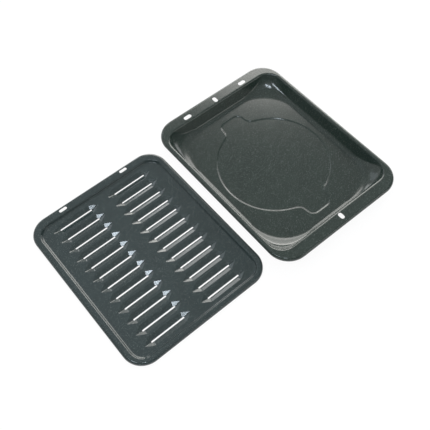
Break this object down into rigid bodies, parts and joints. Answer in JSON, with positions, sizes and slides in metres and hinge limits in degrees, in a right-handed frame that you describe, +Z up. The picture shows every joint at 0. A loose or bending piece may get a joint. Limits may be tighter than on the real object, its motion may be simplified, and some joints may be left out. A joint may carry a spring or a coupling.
{
  "type": "broiler pan",
  "caption": "Two-piece enamelled broiler pan: a deep rectangular drip pan with an eared round recess in its floor, and a shallow grid with pointed drain slots beside it.",
  "frame": {"origin": "Middle of the drip pan's underside, on the surface that both pieces stand on.", "axes": "+Z is up. +X runs along the pan's long sides, away from the end with the two hanging slots. +Y runs across the pan, away from the grid, which lies on the -Y side."},
  "size_m": [0.428, 0.6589, 0.0318],
  "materials": {
    "pan_enamel": "glossy dark green-grey vitreous enamel with fine pale speckle",
    "grid_enamel": "glossy dark green-grey vitreous enamel with fine pale speckle"
  },
  "bodies": {
    "root": {"drip_pan": "pan_enamel", "broiler_grid": "grid_enamel"}
  },
  "joints": []
}
